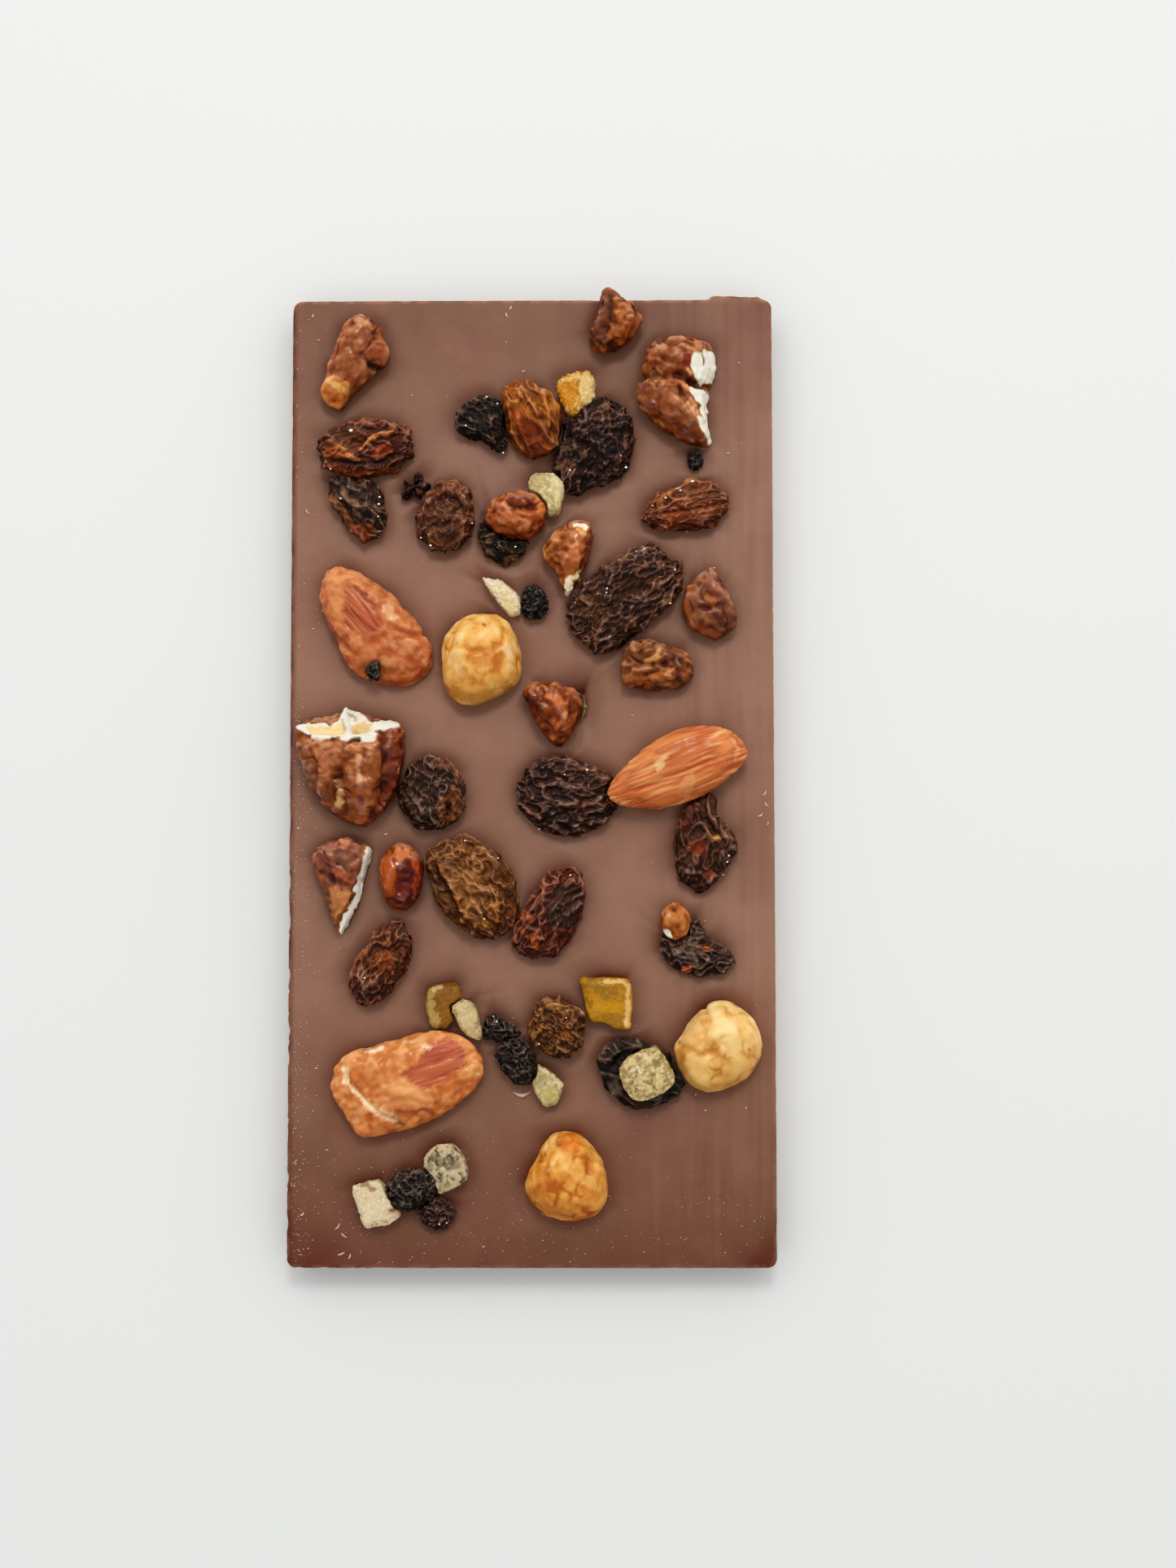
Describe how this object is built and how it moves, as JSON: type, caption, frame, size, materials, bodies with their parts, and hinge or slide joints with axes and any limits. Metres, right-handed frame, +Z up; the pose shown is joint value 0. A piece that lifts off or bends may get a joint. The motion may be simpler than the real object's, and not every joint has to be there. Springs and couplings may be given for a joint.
{
  "type": "fruit and nut chocolate bar",
  "caption": "Flat oblong milk chocolate bar with raisins, whole and broken nuts, dark berries and candied fruit pressed into its top face.",
  "frame": {"origin": "centre of the slab's flat underside", "axes": "+X across the bar, +Y along the bar, +Z up out of the topped face"},
  "size_m": [0.08, 0.1612, 0.0146],
  "materials": {
    "milk_chocolate": "satin milk chocolate, smooth poured face with faint swirls",
    "dark_raisin": "wrinkled dark raisin skin, slightly waxy",
    "brown_raisin": "wrinkled brown raisin skin, slightly waxy",
    "golden_raisin": "translucent amber sultana skin, folded",
    "glazed_nut": "red-brown sugar glaze over nut, cream where it is broken",
    "almond_skin": "orange-brown almond skin with lengthwise veins",
    "roasted_hazelnut": "golden roasted kernel, lightly oily",
    "dark_berry": "blue-black dried berry skin",
    "yellow_peel": "translucent yellow candied peel with a frosted edge",
    "pale_candied_fruit": "pale frosted candied fruit with sugar crystals"
  },
  "bodies": {
    "root": {"chocolate_slab": "milk_chocolate", "raisin_01": "brown_raisin", "raisin_02": "brown_raisin", "raisin_03": "dark_raisin", "raisin_04": "golden_raisin", "raisin_05": "dark_raisin", "raisin_06": "brown_raisin", "raisin_07": "dark_raisin", "raisin_08": "brown_raisin", "raisin_09": "dark_raisin", "raisin_10": "dark_raisin", "raisin_11": "dark_raisin", "raisin_12": "dark_raisin", "raisin_13": "brown_raisin", "raisin_14": "brown_raisin", "raisin_15": "brown_raisin", "raisin_16": "brown_raisin", "raisin_17": "dark_raisin", "hazelnut_01": "roasted_hazelnut", "hazelnut_02": "roasted_hazelnut", "hazelnut_03": "roasted_hazelnut", "almond_01": "almond_skin", "almond_02": "almond_skin", "almond_03": "almond_skin", "nut_01": "glazed_nut", "nut_02": "glazed_nut", "nut_03": "glazed_nut", "nut_04": "glazed_nut", "nut_05": "glazed_nut", "nut_06": "glazed_nut", "nut_07": "glazed_nut", "nut_08": "glazed_nut", "nut_09": "glazed_nut", "nut_10": "glazed_nut", "nut_11": "glazed_nut", "nut_12": "glazed_nut", "berry_01": "dark_berry", "berry_02": "dark_berry", "berry_03": "dark_berry", "berry_04": "dark_berry", "berry_05": "dark_berry", "berry_06": "dark_berry", "berry_07": "dark_berry", "berry_08": "dark_berry", "berry_09": "dark_berry", "peel_01": "yellow_peel", "peel_02": "pale_candied_fruit", "peel_03": "pale_candied_fruit", "peel_04": "pale_candied_fruit", "peel_05": "yellow_peel", "peel_06": "pale_candied_fruit", "peel_07": "pale_candied_fruit", "peel_08": "yellow_peel", "peel_09": "pale_candied_fruit", "peel_10": "pale_candied_fruit", "peel_11": "pale_candied_fruit"}
  },
  "joints": []
}
